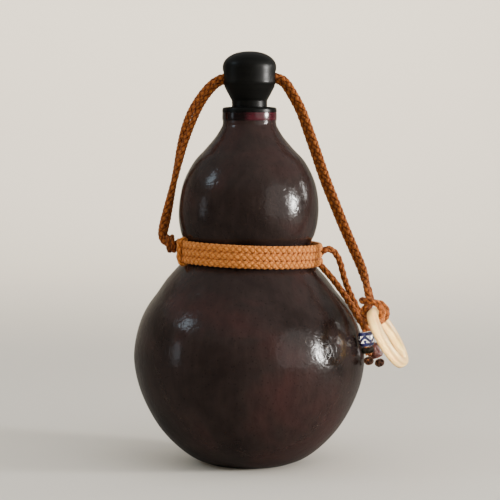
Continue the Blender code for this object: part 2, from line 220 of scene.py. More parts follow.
# %% Lay a braid along a route
def finished_mesh(source, name):
    """A new object at the origin with the evaluated mesh of another, smooth shaded."""
    bpy.context.view_layer.update()
    seen = source.evaluated_get(bpy.context.evaluated_depsgraph_get())
    mesh = bpy.data.meshes.new_from_object(seen)
    mesh.name = name
    made = bpy.data.objects.new(name, mesh)
    bpy.context.scene.collection.objects.link(made)
    mesh.polygons.foreach_set("use_smooth", [True] * len(mesh.polygons))
    return made


def linked(name, bm):
    """A mesh object at the origin from a bmesh."""
    mesh = bpy.data.meshes.new(name)
    bm.to_mesh(mesh)
    bm.free()
    made = bpy.data.objects.new(name, mesh)
    bpy.context.scene.collection.objects.link(made)
    mesh.polygons.foreach_set("use_smooth", [True] * len(mesh.polygons))
    return made


def lay_braid(name, points, radius, closed=False, flat=(1.0, 1.0), pitch=BRAID_PITCH):
    """A braided cord along the points, in metres. flat squeezes its two cross directions."""
    route_data = bpy.data.curves.new(name + "_route", "CURVE")
    route_data.dimensions = "3D"
    route_data.twist_mode = "MINIMUM"
    route_data.use_stretch = True
    route_data.use_deform_bounds = True
    spline = route_data.splines.new("POLY")
    spline.points.add(len(points) - 1)
    for place, point in zip(spline.points, points):
        place.co = (*point, 1.0)
    spline.use_cyclic_u = closed
    route = bpy.data.objects.new(name + "_route", route_data)
    bpy.context.scene.collection.objects.link(route)
    length = run_length(points) + ((points[0] - points[-1]).length if closed else 0.0)
    bm = straight_braid(length, radius, pitch)
    bmesh.ops.scale(bm, vec=(1.0, *flat), verts=bm.verts)
    straight = linked(name + "_straight", bm)
    bend = straight.modifiers.new("route", "CURVE")
    bend.object = route
    bend.deform_axis = "POS_X"
    cord = finished_mesh(straight, name)
    bpy.data.objects.remove(straight)
    bpy.data.objects.remove(route)
    print(f"{name}: {length * 1000:.0f} mm, {len(cord.data.polygons)} faces")
    return cord


def set_down(piece, slot, *nodes):
    """Every piece rides on the frame and stands for some nodes; slot is not used."""
    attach(piece, "root")
    if nodes:
        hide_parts(*nodes)
    return piece


# %% [markdown]
# ## Carrying cord
#
# One cord makes the whole handle. Both its ends are held by the lashing at the left of the waist,
# its two halves run side by side up through the stopper's cross hole and down again, and its
# middle is hitched on the ring. The route gives the middle of the pair and how it is twisted, and
# each half lies a little to one side of it.

# %% Ring's place and the hitch
RING_CENTRE = (69.0, -36.2, 69.2)
RING_RADIUS = 16.5
RING_WALL = 4.4
RING_WIDTH = 5.6
RING_CLIMB = 31.0
RING_HEADING = -14.0
HITCH_ANGLE = 10.0
HITCH_HALF = [
    (-1.95, 12.0, 2.7), (-1.95, 8.0, 1.6), (-1.95, 4.8, -0.4), (-1.95, 3.7, -3.6),
    (-2.0, 0.0, -5.1), (-2.3, -3.8, -4.1), (-2.8, -4.8, -0.7), (-3.5, -4.7, 2.3),
    (-4.4, -3.0, 4.5), (-5.2, 0.6, 5.1), (-5.7, 3.9, 3.5), (-5.5, 5.9, 0.7),
    (-4.0, 7.6, -1.6), (0.0, 8.3, -2.2),
]
RING_PLACE = (
    Matrix.Translation(Vector(RING_CENTRE))
    @ Matrix.Rotation(radians(RING_HEADING), 4, "Z")
    @ Matrix.Rotation(radians(90.0 - RING_CLIMB), 4, "Y"))


def hitch_point(along, outward, across):
    """A point given from the middle of the ring's limb, in millimetres in the frame."""
    middle = RING_RADIUS - RING_WALL / 2
    angle = radians(HITCH_ANGLE)
    out = Vector((-cos(angle), sin(angle), 0.0))
    limb = Vector((sin(angle), cos(angle), 0.0))
    return RING_PLACE @ (out * (middle + outward) + limb * along + Vector((0.0, 0.0, across)))


# %% Carrying cord
CORD_RADIUS = 1.85 * MM
PAIR_OFFSET = 1.95
PRESSED = 0.32                # how much nearer the two halves lie where they press on each other
CORD_ROUTE = [
    (-37.0, 0.0, 113.7, 90), (-41.0, 0.0, 113.7, 90), (-43.1, 0.0, 114.1, 90),
    (-44.8, 0.0, 116.3, 104), (-44.8, 0.0, 119.9, 124), (-43.5, 0.0, 126.0, 128),
    (-41.7, 0.0, 134.0, 112), (-39.6, 0.0, 143.4, 92),
    (-37.2, 0.0, 153.8, 76), (-34.3, 0.0, 166.2, 46), (-30.6, 0.0, 177.4, 8),
    (-26.6, 0.0, 185.6, -26), (-22.0, 0.0, 192.2, -38), (-17.6, 0.0, 196.6, -46),
    (-12.8, 0.0, 198.8, -50), (0.0, 0.0, 199.0, -50), (12.8, 0.0, 199.1, -50),
    (17.4, -0.3, 197.5, -50), (21.8, -1.0, 191.2, -48), (26.3, -2.0, 182.8, -48),
    (30.5, -3.5, 171.4, -46), (34.4, -6.0, 160.1, -44), (38.5, -9.0, 147.9, -44),
    (43.2, -12.0, 135.8, -46), (48.1, -15.0, 123.4, -52), (53.1, -18.8, 111.7, -60),
    (57.0, -23.0, 102.2, -68),
]
ENTRY_TWIST = -88


def half_of_pair(side):
    """One half of the doubled cord, from the lashing to the hitch. side is 1 or -1."""
    route = [Vector(place[:3]) for place in CORD_ROUTE]
    route.append((hitch_point(*HITCH_HALF[0]) + hitch_point(1.95, *HITCH_HALF[0][1:])) / 2)
    twists = [place[3] for place in CORD_ROUTE] + [ENTRY_TWIST]
    parts = 6
    middle = smooth_curve(route, parts)
    points = []
    for index, point in enumerate(middle):
        span = min(index // parts, len(twists) - 2)
        share = index / parts - span
        twist = radians(twists[span] * (1 - share) + twists[span + 1] * share)
        ahead = middle[min(index + 1, len(middle) - 1)] - middle[max(index - 1, 0)]
        outward = Vector((-ahead.z, 0.0, ahead.x)).normalized()
        offset = outward * cos(twist) + Vector((0.0, 1.0, 0.0)) * sin(twist)
        pressed = min(index / (3 * parts), (len(middle) - 1 - index) / (3 * parts), 1.0) * PRESSED
        points.append(point + offset * (PAIR_OFFSET - pressed) * side)
    return points


hitch_near = [hitch_point(*place) for place in HITCH_HALF]
hitch_far = [hitch_point(-along, outward, across) for along, outward, across in HITCH_HALF]
hitch = smooth_curve(hitch_near + hitch_far[-2::-1], 6)
carrying_route = half_of_pair(1)[:-3] + hitch + half_of_pair(-1)[:-3][::-1]
carrying_route = eased(even_steps([point * MM for point in carrying_route], 0.6 * MM), 6)
carrying_cord = lay_braid("carrying_cord_braid", carrying_route, CORD_RADIUS)
set_down(carrying_cord, "cord", "carrying_cord")

# %% [markdown]
# ## The gourd's outline
#
# The waist band lies on the gourd, so the outline is needed before the band. It is half of the gourd's
# silhouette, drawn as points from the cut mouth down to the base. A grown gourd is never quite straight,
# so one function leans the waist a little to one side and another raises soft swellings.

# %% Outline of the gourd
OUTLINE_POINTS = [
    (13.7, 177.4), (14.0, 175.0), (15.4, 172.2), (17.6, 168.8), (22.5, 163.0), (28.4, 156.6),
    (33.3, 147.6), (35.4, 140.4), (36.35, 131.5), (35.9, 124.5), (34.5, 118.6), (32.6, 114.4),
    (31.3, 110.4), (31.9, 106.6), (34.4, 103.4), (38.2, 99.2), (42.0, 94.8), (46.6, 88.4),
    (51.4, 82.2), (55.2, 75.6), (58.2, 67.0), (59.7, 59.6), (60.0, 53.0), (58.4, 43.0),
    (53.8, 30.6), (46.6, 18.4), (37.4, 8.6), (29.5, 2.9), (23.0, 0.25),
]
outline = [
    (point.x, point.z)
    for point in smooth_curve([(radius, 0.0, height) for radius, height in OUTLINE_POINTS], 8)]


def lean(height):
    """Sideways shift of the gourd, in millimetres, at a height."""
    return -1.1 * exp(-((height - 100.0) / 34.0) ** 2)


def clear_radius(height, clearance):
    """Radius at which a round cord of that clearance just stays off the gourd at a height."""
    best = 0.0
    for radius, level in outline:
        drop = abs(level - height)
        if drop < clearance:
            best = max(best, radius + sqrt(clearance ** 2 - drop ** 2))
    return best


# %% [markdown]
# ## Waist band, lashing and tie
#
# The band is one cord wound round the waist in three rows. Its route is a formula: the angle runs
# on, the height drops by one row near the end of each turn, and the radius is the smallest that
# keeps the cord off the gourd. The rows sit a little closer to the skin than the plain solid, and
# the cord's end is tucked in behind the middle row, as one would do it by hand.

# %% Waist band
ROWS = 3
ROW_PITCH = 3.8
ROWS_HEIGHT = 109.5
ROWS_TILT = 1.3
CROSS_START = 0.86
CROSS_END = 0.99
BAND_MIDDLE = 36.4            # radius of the rows, which press each other level
BAND_RADIUS = 1.90 * MM
BAND_FLAT = (0.90, 1.14)      # taller and thinner than round, because the rows are pulled tight
BAND_CLEARANCE = 2.15
BAND_PITCH = 9.4 * MM         # the cord is pulled tight here, and its stitches are shorter
TUCK = 0.055                  # share of a turn in which the cord's end goes under the row above
band_turns = ROWS - 1 + CROSS_START


def band_point(turn):
    """A point of the wound cord after that many turns from the left, going round by the front."""
    angle = pi + 2 * pi * turn
    row = int(turn)
    crossing = min(max((turn - row - CROSS_START) / (CROSS_END - CROSS_START), 0.0), 1.0)
    if row < ROWS - 1:
        row += crossing * crossing * (3 - 2 * crossing)
    height = ROWS_HEIGHT + ROW_PITCH * ((ROWS - 1) / 2 - row) - ROWS_TILT * cos(angle)
    radius = max(clear_radius(height, BAND_CLEARANCE) + 0.15, BAND_MIDDLE)
    tucked = max(turn - band_turns + TUCK, 0.0) / TUCK
    tucked = tucked * tucked * (3 - 2 * tucked)
    radius -= 2.9 * tucked
    height += 3.0 * tucked
    return Vector((radius * cos(angle), radius * sin(angle), height)) * MM


band_points = [band_point(band_turns * index / 1100) for index in range(1101)]
waist_band = lay_braid(
    "waist_band_braid", band_points, BAND_RADIUS, flat=BAND_FLAT, pitch=BAND_PITCH)
set_down(waist_band, "cord", "waist_band")

# %% Lashing at the left
LASHING_PLACE = (-40.7, 0.0, 113.7)
LASHING_RADIUS = 1.3 * MM
LASHING_PITCH = 2.35          # from one turn of the lashing to the next, in millimetres
lashing_points = []
for index in range(193):
    turn = 4 * pi * index / 192
    across = abs(cos(turn)) ** 0.7 * (1 if cos(turn) > 0 else -1)
    upward = abs(sin(turn)) ** 0.7 * (1 if sin(turn) > 0 else -1)
    along = LASHING_PITCH * (turn / (2 * pi) - 1.0)
    lashing_points.append((Vector(LASHING_PLACE) + Vector((along, 5.2 * across, 3.6 * upward))) * MM)
left_lashing = lay_braid("left_lashing_braid", lashing_points, LASHING_RADIUS)
set_down(left_lashing, "cord", "left_lashing")

# %% Tie over the rows
TIE_ANGLE = radians(203.5)
tie_level = ROWS_HEIGHT - ROWS_TILT * cos(TIE_ANGLE)
tie_places = [(34.6, 5.6), (36.6, 6.5), (38.4, 5.9), (39.0, 4.2), (39.2, 2.0), (39.2, 0.0)]
tie_places += [(radius, -rise) for radius, rise in tie_places[-2::-1]]
tie_points = [
    Vector((radius * cos(TIE_ANGLE), radius * sin(TIE_ANGLE), tie_level + rise)) * MM
    for radius, rise in tie_places]
tie_route = eased(even_steps(smooth_curve(tie_points, 8), 0.5 * MM), 4)
band_tie = lay_braid("band_tie_braid", tie_route, 1.3 * MM)
set_down(band_tie, "cord", "band_tie")

# %% [markdown]
# ## Tails
#
# Two short ends of cord hang from the right of the waist. Each begins inside the band, hangs down
# under its own weight and carries a bead that rests on its end knot.

# %% Tails
INNER_TAIL = [
    (35.6, -9.0, 104.2), (37.3, -9.5, 102.3), (38.5, -9.7, 101.1), (39.9, -10.0, 99.5),
    (42.0, -10.4, 97.1), (45.2, -10.9, 93.0),
    (49.2, -12.8, 87.4), (52.8, -15.4, 81.8), (55.6, -17.6, 76.8), (57.7, -19.2, 73.6),
    (58.8, -20.1, 71.2), (59.4, -20.4, 66.6), (60.0, -20.5, 61.4), (60.4, -20.5, 58.0),
]
OUTER_TAIL = [
    (36.6, -5.0, 109.6), (38.9, -4.6, 110.7), (40.6, -4.0, 111.4), (42.3, -3.1, 110.8),
    (44.6, -2.0, 108.7),
    (46.5, -1.0, 105.2), (47.9, -0.4, 100.8), (49.0, -0.2, 96.4), (50.4, -0.6, 92.2),
    (52.3, -1.4, 87.6),
    (54.7, -2.6, 82.6), (57.5, -3.6, 76.4), (60.5, -4.0, 70.0), (63.0, -4.0, 63.6),
    (64.9, -4.0, 58.3), (66.5, -4.0, 54.6),
]


def tail_route(places):
    curve = smooth_curve([Vector(place) * MM for place in places], 8)
    return eased(even_steps(curve, 0.6 * MM), 4)


inner_route = tail_route(INNER_TAIL)
outer_route = tail_route(OUTER_TAIL)
inner_tail = lay_braid("inner_tail_braid", inner_route, CORD_RADIUS)
outer_tail = lay_braid("outer_tail_braid", outer_route, CORD_RADIUS)
set_down(inner_tail, "cord", "inner_tail")
set_down(outer_tail, "cord", "outer_tail")

# %% [markdown]
# ## Turned pieces
#
# Gourd, collar, stopper, ring and beads are all round, so one function makes them: it draws the
# profile as edges, spins it once round and merges the seam. It also stores a UV map with the share
# of a turn and the height in millimetres, which the materials use for lines that run round a piece.

# %% Spin a profile
def spun(profile, steps, closed=False):
    """A bmesh turned round Z from a profile of (radius, height) in millimetres."""
    bm = bmesh.new()
    verts = [bm.verts.new((radius * MM, 0.0, height * MM)) for radius, height in profile]
    edges = [bm.edges.new(pair) for pair in zip(verts, verts[1:])]
    if closed:
        edges.append(bm.edges.new((verts[-1], verts[0])))
    bmesh.ops.spin(bm, geom=verts + edges, cent=(0, 0, 0), axis=(0, 0, 1), angle=2 * pi,
                   steps=steps, use_merge=True)
    bmesh.ops.remove_doubles(bm, verts=bm.verts, dist=1e-6)
    bmesh.ops.recalc_face_normals(bm, faces=bm.faces)
    uv = bm.loops.layers.uv.new("UVMap")
    for face in bm.faces:
        centre = face.calc_center_median()
        facing = atan2(centre.y, centre.x)
        for corner in face.loops:
            place = corner.vert.co
            turn = facing
            if hypot(place.x, place.y) > 1e-6:
                turn = facing + (atan2(place.y, place.x) - facing + pi) % (2 * pi) - pi
            corner[uv].uv = (turn / (2 * pi) + 0.5, place.z / MM)
    return bm


def rounded(profile, corners):
    """The profile with some of its corners rounded. corners maps an index to a radius."""
    result = []
    for index, (radius, height) in enumerate(profile):
        size = corners.get(index, 0.0)
        if not size:
            result.append((radius, height))
            continue
        here = Vector((radius, height))
        before = Vector(profile[index - 1]) - here
        after = Vector(profile[(index + 1) % len(profile)]) - here
        start = here + before.normalized() * min(size, before.length * 0.45)
        end = here + after.normalized() * min(size, after.length * 0.45)
        for part in range(5):
            t = part / 4
            place = start * (1 - t) ** 2 + here * 2 * t * (1 - t) + end * t ** 2
            result.append((place.x, place.y))
    return result


# %% [markdown]
# ## The gourd
#
# The gourd grew as one thing, so it is one shell: the outer skin, the cut mouth, the hollow and the
# dimpled base. After the spin its vertices are moved outward by two noises, one slow and one finer, and
# leaned a little at the waist, because a real gourd has soft shoulders and hollows that a lathe would not
# leave, and the highlights show them.

# %% Gourd
WALL = 4.4
FLOOR_WALL = 5.5
MOUTH_RADIUS = 9.2
GOURD_STEPS = 168
base_profile = [(22.4, 0.06), (21.4, 0.0), (19.0, 0.0), (17.6, 0.1), (15.5, 0.5), (12.0, 1.25),
                (9.0, 1.8), (6.0, 2.25), (3.0, 2.5), (1.0, 2.3), (0.0, 2.2)]

hollow = []
for before, point, after in zip(outline[::4], outline[4::4], outline[8::4]):
    run = hypot(after[0] - before[0], after[1] - before[1])
    radius = point[0] + (after[1] - before[1]) / run * WALL
    height = point[1] - (after[0] - before[0]) / run * WALL
    if (radius >= MOUTH_RADIUS or height < ROWS_HEIGHT) and height > FLOOR_WALL + 1 and radius > 17.5:
        hollow.append((radius, height))
hollow += [(10.5, FLOOR_WALL + 0.4), (0.0, FLOOR_WALL + 0.6)]
hollow.reverse()
mouth = [(MOUTH_RADIUS, hollow[-1][1] + 2.0), (MOUTH_RADIUS, 177.0), (MOUTH_RADIUS + 0.4, 177.4)]
bm = spun(hollow + mouth + outline + base_profile, GOURD_STEPS)
for vert in bm.verts:
    height = vert.co.z / MM
    reach = hypot(vert.co.x, vert.co.y)
    fade = min(max((height - 4.0) / 20.0, 0.0), 1.0) * min(max((172.0 - height) / 20.0, 0.0), 1.0)
    if reach > 1e-5:
        outward = Vector((vert.co.x, vert.co.y, 0.0)) / reach
        swelling = 0.55 * noise.noise(vert.co * 26.0 + Vector((3.1, 0.0, 0.0)))
        swelling += 0.12 * noise.noise(vert.co * 75.0)
        vert.co += outward * (swelling * fade * MM)
    vert.co.x += lean(height) * MM
gourd = linked("gourd_shell", bm)
gourd.data.set_sharp_from_angle(angle=radians(50))
set_down(gourd, "gourd_skin", "gourd")
print("gourd faces", len(gourd.data.polygons))

# %% [markdown]
# ## Collar and its band
#
# The mouth has a thin dark red band and a black collar of the same width. Both are turned. Where
# they meet, their faces touch and their edges are nearly sharp, or the pale wall behind would show
# through the seams. The collar's top edge is well rounded, and catches the light.

# %% Collar band and mouth collar
BAND_LOW = 177.4
BAND_HIGH = 181.5
band_profile = [
    (9.15, BAND_LOW), (9.15, BAND_HIGH), (14.0, BAND_HIGH),
    (14.12, (BAND_LOW + BAND_HIGH) / 2), (14.0, BAND_LOW)]
band_profile = rounded(band_profile, {2: 0.08, 3: 1.2, 4: 0.08})
collar_band = linked("collar_band_turned", spun(band_profile, 112, closed=True))
collar_band.data.set_sharp_from_angle(angle=radians(30))
set_down(collar_band, "maroon_wood", "collar_band")

COLLAR_LOW = 181.5
COLLAR_HIGH = 184.5
collar_profile = [
    (7.4, 168.7), (7.4, COLLAR_HIGH - 0.6), (7.9, COLLAR_HIGH), (9.7, COLLAR_HIGH),
    (13.3, COLLAR_HIGH - 0.35), (14.05, COLLAR_HIGH - 1.1), (14.1, COLLAR_LOW),
    (8.8, COLLAR_LOW), (8.8, 168.7)]
collar_profile = rounded(collar_profile, {3: 0.7, 4: 0.8, 5: 0.6, 6: 0.08})
mouth_collar = linked("mouth_collar_turned", spun(collar_profile, 112, closed=True))
mouth_collar.data.set_sharp_from_angle(angle=radians(30))
set_down(mouth_collar, "black_wood", "mouth_collar")

# %% [markdown]
# ## Stopper
#
# The stopper is a domed knob over a straight drum, a cone below it, and a spigot that closes the
# mouth. The doubled cord passes through a cross hole, cut by an exact Boolean with a cylinder.

# %% Stopper
STOPPER_SEAT = 184.5
HOLE_RADIUS = 4.5
HOLE_HEIGHT = 199.0
dome = []
for part in range(15):
    angle = pi / 2 * (1 - part / 15)
    dome.append((13.85 * max(cos(angle), 0.0) ** 0.9, 204.8 + 8.1 * sin(angle)))
dome[0] = (0.0, 212.9)
knob = [(13.85, 204.8), (13.8, 202.6), (13.74, 200.6), (13.8, 198.4), (13.9, 196.9), (13.7, 196.1),
        (9.5, 188.2), (9.15, 187.6), (9.1, 186.2), (9.05, STOPPER_SEAT)]
spigot = [(7.0, STOPPER_SEAT), (7.0, 171.5), (6.2, 167.5), (0.0, 167.5)]
knob = rounded(knob, {1: 0.8, 2: 0.9, 3: 0.8, 4: 0.3, 5: 0.3, 6: 0.3, 7: 0.3, 8: 0.5})
stopper_solid = linked("stopper_solid", spun(dome + knob + spigot, 112))
bm = bmesh.new()
bmesh.ops.create_cone(bm, cap_ends=True, segments=48, radius1=HOLE_RADIUS * MM,
                      radius2=HOLE_RADIUS * MM, depth=40 * MM)
bmesh.ops.rotate(bm, verts=bm.verts, cent=(0, 0, 0), matrix=Matrix.Rotation(pi / 2, 3, "Y"))
bmesh.ops.translate(bm, verts=bm.verts, vec=(0.0, 0.0, HOLE_HEIGHT * MM))
drill = linked("drill", bm)
cut = stopper_solid.modifiers.new("cross_hole", "BOOLEAN")
cut.operation = "DIFFERENCE"
cut.solver = "EXACT"
cut.object = drill
stopper = finished_mesh(stopper_solid, "stopper_turned")
bpy.data.objects.remove(stopper_solid)
bpy.data.objects.remove(drill)
stopper.data.set_sharp_from_angle(angle=radians(50))
set_down(stopper, "black_wood", "stopper")

# %% [markdown]
# ## Ring
#
# The ring's section is a soft rectangle. It is spun lying flat and then turned to the place where
# it hangs, with its place in the mesh, so that the object itself stays at the origin.

# %% Ring
ring_profile = []
for index in range(28):
    angle = pi / 2 - 2 * pi * index / 28
    across = abs(cos(angle)) ** 0.75 * (1 if cos(angle) > 0 else -1)
    along = abs(sin(angle)) ** 0.75 * (1 if sin(angle) > 0 else -1)
    ring_profile.append((RING_RADIUS - RING_WALL / 2 * (1 - across), along * RING_WIDTH / 2))
bm = spun(ring_profile, 144, closed=True)
place = RING_PLACE.copy()
place.translation = Vector(RING_CENTRE) * MM
bmesh.ops.transform(bm, matrix=place, verts=bm.verts)
ring = linked("ring_turned", bm)
set_down(ring, "pale_bone", "ring")

# %% [markdown]
# ## Beads and end knots
#
# Each bead is spun upright and then turned onto its cord. The seed bead gets lobes and wrinkles by
# moving its vertices. An end knot is a thin cord that weaves round a ball: its longitude goes
# round three times while its latitude swings five times, which closes into one loop.

# %% Beads
BEAD_BORE = 2.2


def heading_of(route, first, last):
    return (Vector(route[last]) - Vector(route[first])).normalized()


def place_on(bm, centre, heading):
    """Turn an upright piece onto a heading and set it at a centre, in millimetres."""
    turn = Vector((0.0, 0.0, 1.0)).rotation_difference(heading).to_matrix().to_4x4()
    matrix = Matrix.Translation(Vector(centre) * MM) @ turn
    bmesh.ops.transform(bm, matrix=matrix, verts=bm.verts)


def bead(radius, length, sides, power):
    """A round bead with a bore, standing upright at the origin."""
    profile = []
    for index in range(sides + 1):
        angle = pi / 2 - pi * index / sides
        bulge = max(cos(angle), 0.0) ** power
        profile.append((BEAD_BORE + (radius - BEAD_BORE) * bulge, length / 2 * sin(angle)))
    return spun(profile, 64, closed=True)


inner_down = heading_of(INNER_TAIL, -4, -2)
inner_low = heading_of(INNER_TAIL, -3, -1)
outer_low = heading_of(OUTER_TAIL, -3, -1)

bm = bead(4.2, 7.6, 20, 0.7)
place_on(bm, INNER_TAIL[-3], inner_down)
porcelain_bead = linked("porcelain_bead_turned", bm)
set_down(porcelain_bead, "porcelain", "porcelain_bead")

bm = bead(3.4, 3.2, 14, 0.6)
place_on(bm, Vector(INNER_TAIL[-3]) + inner_low * 5.75, inner_low)
black_bead = linked("black_bead_turned", bm)
set_down(black_bead, "black_wood", "black_bead")

bm = bead(4.1, 7.4, 22, 0.7)
for vert in bm.verts:
    reach = hypot(vert.co.x, vert.co.y)
    side = max(reach / MM - BEAD_BORE, 0.0) / (4.1 - BEAD_BORE)
    lobes = 0.17 * cos(5 * atan2(vert.co.y, vert.co.x)) - 0.12
    wrinkle = 0.22 * noise.noise(vert.co * 900.0) + 0.12 * noise.noise(vert.co * 2100.0)
    vert.co.xy *= 1 + (lobes + wrinkle) * side * MM / max(reach, MM)
place_on(bm, OUTER_TAIL[-2], outer_low)
seed_bead = linked("seed_bead_turned", bm)
set_down(seed_bead, "seed_brown", "seed_bead")

# %% End knots
KNOT_RADIUS = 2.6


def end_knot(name, end, heading):
    """A woven ball of thin cord below the end of a tail."""
    bm = bmesh.new()
    bm.loops.layers.uv.new("UVMap")
    crest = bm.verts.layers.float.new("crest")
    stations = 240
    grid = bmesh.ops.create_grid(bm, x_segments=stations, y_segments=8, size=0.5, calc_uvs=True)
    thick = 0.62
    for vert in grid["verts"]:
        share = vert.co.x + 0.5
        around = 2 * pi * (vert.co.y + 0.5)

        def middle(at):
            longitude = 2 * pi * 3 * at
            latitude = radians(62) * sin(2 * pi * 5 * at)
            reach = 1.85 + 0.16 * cos(2 * pi * 10 * at)
            return Vector((
                reach * cos(latitude) * cos(longitude),
                reach * cos(latitude) * sin(longitude),
                reach * sin(latitude)))

        centre = middle(share)
        ahead = (middle(share + 0.001) - middle(share - 0.001)).normalized()
        outward = (centre - ahead * centre.dot(ahead)).normalized()
        sideways = ahead.cross(outward)
        vert.co = (centre + outward * thick * sin(around) + sideways * thick * cos(around)) * MM
        # crest is low on the side of the thin cord that lies on the ball; the cotton paints shade there.
        vert[crest] = 0.5 + 0.5 * sin(around)
    bmesh.ops.remove_doubles(bm, verts=bm.verts, dist=1e-6)
    ball = bmesh.ops.create_icosphere(bm, subdivisions=3, radius=1.75 * MM)
    bmesh.ops.recalc_face_normals(bm, faces=bm.faces)
    place_on(bm, Vector(end) + heading * (KNOT_RADIUS + 0.1), heading)
    return linked(name, bm)


inner_end_knot = end_knot("inner_end_knot_woven", INNER_TAIL[-1], inner_low)
outer_end_knot = end_knot("outer_end_knot_woven", OUTER_TAIL[-1], outer_low)
set_down(inner_end_knot, "cord", "inner_end_knot")
set_down(outer_end_knot, "cord", "outer_end_knot")

# %% [markdown]
# ## Building materials from nodes
#
# Materials are node trees. One small function adds a node, sets its options and fills its inputs
# with numbers or with the outputs of other nodes, so a whole material reads as a short list.

# %% Node helpers
def add(tree, kind, inputs=None, **options):
    """Add a node. inputs maps a socket's name or number to a value or to another socket."""
    made = tree.nodes.new(kind)
    for key, value in options.items():
        setattr(made, key, value)
    for key, value in (inputs or {}).items():
        if isinstance(value, bpy.types.NodeSocket):
            tree.links.new(value, made.inputs[key])
        else:
            made.inputs[key].default_value = value
    return made


def new_material(name, **settings):
    """A material with its shader's plain numbers set, as (material, tree, shader)."""
    made = bpy.data.materials.new(name)
    made.use_nodes = True
    tree = made.node_tree
    shader = tree.nodes["Principled BSDF"]
    for key, value in settings.items():
        shader.inputs[key.replace("_", " ").title().replace("Ior", "IOR")].default_value = value
    return made, tree, shader


def ramp(tree, factor, stops):
    """A colour ramp through (position, colour) stops."""
    made = add(tree, "ShaderNodeValToRGB", {"Fac": factor})
    band = made.color_ramp
    while len(band.elements) < len(stops):
        band.elements.new(0.5)
    for element, (position, colour) in zip(band.elements, stops):
        element.position = position
        element.color = (*colour, 1.0)
    return made.outputs["Color"]


def math(tree, operation, first, second=0.0, third=0.0):
    made = add(tree, "ShaderNodeMath", {0: first, 1: second, 2: third}, operation=operation)
    return made.outputs[0]


def mixed(tree, factor, first, second, blend="MIX"):
    made = add(tree, "ShaderNodeMix", {0: factor, 6: first, 7: second},
               data_type="RGBA", blend_type=blend)
    return made.outputs[2]


def cloud(tree, place, scale, detail=3.0, roughness=0.5, distortion=0.0):
    made = add(tree, "ShaderNodeTexNoise", {
        "Vector": place, "Scale": scale, "Detail": detail, "Roughness": roughness,
        "Distortion": distortion})
    return made.outputs["Fac"]


def bump(tree, height, distance, strength=1.0, normal=None):
    inputs = {"Height": height, "Distance": distance, "Strength": strength}
    if normal:
        inputs["Normal"] = normal
    return add(tree, "ShaderNodeBump", inputs).outputs["Normal"]


def dress(piece, material):
    piece.data.materials.clear()
    piece.data.materials.append(material)


# %% [markdown]
# ## Gourd skin
#
# Dried, dyed and waxed gourd skin is almost black, with maroon where the dye is thin. Slow noise
# moves between three dark colours, faint streaks run down the gourd as they grew, and small pits
# stay darker. The wax lies in fine crinkles, so the highlights break up into small patches.

# %% Gourd skin
gourd_skin, tree, shader = new_material(
    "gourd_skin", coat_weight=0.08, coat_roughness=0.08, specular_ior_level=0.20)
place = add(tree, "ShaderNodeTexCoord").outputs["Object"]
slow = cloud(tree, place, 22.0, 3.0, 0.55, 0.4)
stretched = add(tree, "ShaderNodeMapping", {"Vector": place, "Scale": (1.0, 1.0, 0.16)}).outputs[0]
streaks = cloud(tree, stretched, 260.0, 4.0, 0.6)
base = ramp(tree, slow, [
    (0.30, (0.0090, 0.0056, 0.0050)), (0.52, (0.0225, 0.0150, 0.0138)),
    (0.72, (0.0370, 0.0165, 0.0155))])
streak_tone = ramp(tree, streaks, [(0.35, (0.72, 0.70, 0.70)), (0.65, (1.25, 1.20, 1.18))])
toned = mixed(tree, 0.45, base, streak_tone, "MULTIPLY")
pits = add(tree, "ShaderNodeTexVoronoi", {"Vector": place, "Scale": 420.0, "Randomness": 1.0})
pit_mask = ramp(tree, pits.outputs["Distance"], [(0.05, (0.0, 0.0, 0.0)), (0.22, (1.0, 1.0, 1.0))])
speckled = mixed(tree, 0.45, toned, pit_mask, "MULTIPLY")
tree.links.new(speckled, shader.inputs["Base Color"])
crinkle = cloud(tree, place, 300.0, 1.2, 0.45, 0.9)
fine = cloud(tree, place, 1500.0, 2.0, 0.5)
relief = math(tree, "ADD", crinkle, math(tree, "MULTIPLY", fine, 0.04))
relief = math(tree, "ADD", relief, math(tree, "MULTIPLY", pit_mask, 0.06))
gloss = ramp(tree, crinkle, [(0.3, (0.15, 0.15, 0.15)), (0.75, (0.24, 0.24, 0.24))])
tree.links.new(gloss, shader.inputs["Roughness"])
waves = bump(tree, cloud(tree, place, 130.0, 2.0, 0.5), 0.0002, 0.5)
normal = bump(tree, relief, 0.00025, 0.75, waves)
tree.links.new(normal, shader.inputs["Normal"])
dress(gourd, gourd_skin)

# %% [markdown]
# ## Black and maroon wood
#
# Turned wood keeps fine rings from the tool. A noise stretched along the UV's turn gives rings of uneven
# depth. The black wood is satin with a trace of brown, and the red band is polished, with painted shade
# that darkens its left side, as if the light came only from the right.

# %% Turned grain group
grain = bpy.data.node_groups.new("turned_grain", "ShaderNodeTree")
grain.interface.new_socket("Vector", in_out="INPUT", socket_type="NodeSocketVector")
grain.interface.new_socket("Rings", in_out="OUTPUT", socket_type="NodeSocketFloat")
grain.interface.new_socket("Patches", in_out="OUTPUT", socket_type="NodeSocketFloat")
entry = grain.nodes.new("NodeGroupInput")
leave = grain.nodes.new("NodeGroupOutput")
flat = add(grain, "ShaderNodeMapping", {"Vector": entry.outputs[0], "Scale": (3.0, 1.0, 1.0)})
rings = cloud(grain, flat.outputs[0], 3.2, 5.0, 0.65)
patches = cloud(grain, entry.outputs[0], 0.9, 3.0, 0.5, 0.5)
grain.links.new(rings, leave.inputs[0])
grain.links.new(patches, leave.inputs[1])


